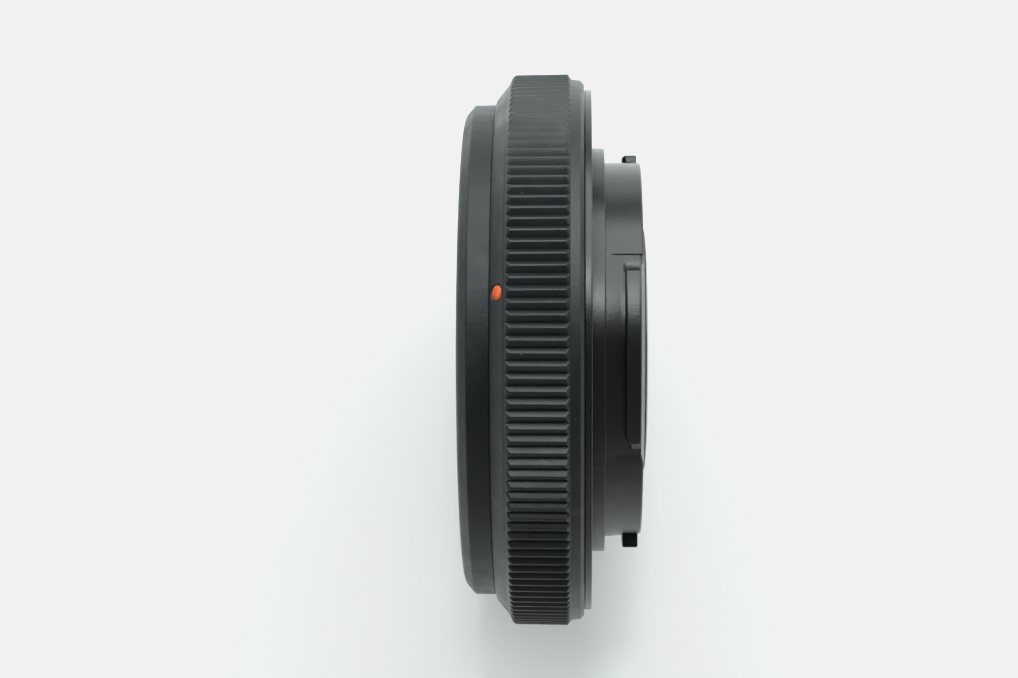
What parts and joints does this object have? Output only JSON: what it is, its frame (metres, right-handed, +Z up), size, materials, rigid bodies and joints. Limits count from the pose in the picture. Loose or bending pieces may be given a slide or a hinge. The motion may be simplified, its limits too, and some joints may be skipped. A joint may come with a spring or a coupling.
{
  "type": "prime camera lens",
  "caption": "Flat fixed-focal-length camera lens with a ribbed grip, a rear bayonet, and a front lever that focuses it and swings a two-blade cover over the glass.",
  "frame": {"origin": "on the optical axis, halfway along the lens's overall length, which is 3.55 mm in front of the mount flange's seating face", "axes": "+Y along the optical axis towards the camera, so the front faces -Y; +Z up through the orange index dot on the cone"},
  "size_m": [0.0562, 0.0184, 0.0562],
  "materials": {
    "black_moulded_matte": "fine-grained black moulding, rib lands slightly polished by handling",
    "black_bezel": "fine-grained black moulding with a soft sheen",
    "black_gloss": "semi-gloss black moulding",
    "scale_face": "black printed face with pale graduations",
    "black_flat": "flat black, light absorbing",
    "orange_mark": "orange-red paint fill",
    "black_blade": "flat black coated thin blade",
    "black_knob": "matte black moulding",
    "black_inner": "matte black glass-filled moulding",
    "anodised_cell": "black anodised",
    "brass_ring": "turned, satin",
    "steel_plate": "stamped and ground",
    "steel_screw": "plated",
    "black_screw": "black oxide",
    "coated_glass": "polished with an anti-reflection coating"
  },
  "bodies": {
    "housing": {"grip_body": "black_moulded_matte", "front_bezel": "black_bezel", "bayonet_mount": "black_gloss", "rear_cover": "black_gloss", "scale_plate": "scale_face", "rear_mask": "black_flat", "barrier_base_plate": "black_flat", "index_dot": "orange_mark", "chassis": "black_inner", "guide_key": "steel_plate", "detent_spring": "steel_plate", "spring_washer": "steel_plate", "blade_pivot_pin_1": "steel_plate", "blade_pivot_pin_2": "steel_plate", "guide_key_screw": "steel_screw", "detent_spring_screw": "steel_screw", "chassis_screw_1": "steel_screw", "chassis_screw_2": "steel_screw", "chassis_screw_3": "steel_screw", "mount_screw_1": "black_screw", "mount_screw_2": "black_screw", "mount_screw_3": "black_screw", "mount_screw_4": "black_screw", "rear_cover_screw_1": "black_screw", "rear_cover_screw_2": "black_screw", "rear_cover_screw_3": "black_screw", "bezel_screw_1": "black_screw", "bezel_screw_2": "black_screw", "bezel_screw_3": "black_screw"},
    "focus_ring": {"cam_ring": "brass_ring", "focus_lever": "steel_plate", "lever_screw_1": "steel_screw", "lever_screw_2": "steel_screw", "lever_knob": "black_knob"},
    "barrier_upper": {"barrier_blade_upper": "black_blade"},
    "barrier_lower": {"barrier_blade_lower": "black_blade"},
    "lens_cell": {"lens_cell": "anodised_cell", "front_retaining_ring": "black_flat", "front_element": "coated_glass", "baffle_washer": "black_flat", "front_spacer": "black_flat", "second_element": "coated_glass", "stop_plate": "black_flat", "doublet_front": "coated_glass", "doublet_rear": "coated_glass", "rear_spacer": "black_flat", "rear_element": "coated_glass", "follower_pin_1": "steel_plate", "follower_pin_2": "steel_plate", "follower_pin_3": "steel_plate"}
  },
  "joints": [
    {"name": "focus_lever_turn", "type": "hinge", "parent": "housing", "child": "focus_ring", "pos_m": [0, -0.0037, 0], "axis": [0, 1, 0], "range_deg": [-36, 20]},
    {"name": "cell_slide", "type": "slide", "parent": "housing", "child": "lens_cell", "axis": [0, -1, 0], "range_m": [-0.00052, 0.0003]},
    {"name": "barrier_upper_swing", "type": "hinge", "parent": "housing", "child": "barrier_upper", "pos_m": [-0.0165, -0.00728, 0.0045], "axis": [0, 1, 0], "range_deg": [-16.5, 29.2]},
    {"name": "barrier_lower_swing", "type": "hinge", "parent": "housing", "child": "barrier_lower", "pos_m": [0.0165, -0.00728, -0.0045], "axis": [0, 1, 0], "range_deg": [-16.5, 29.2]}
  ],
  "couplings": [
    {"joint": "cell_slide", "follows": "focus_lever_turn", "m_per_rad": 0.0008},
    {"joint": "barrier_upper_swing", "follows": "focus_lever_turn", "ratio": -0.8056},
    {"joint": "barrier_lower_swing", "follows": "focus_lever_turn", "ratio": -0.8056}
  ]
}
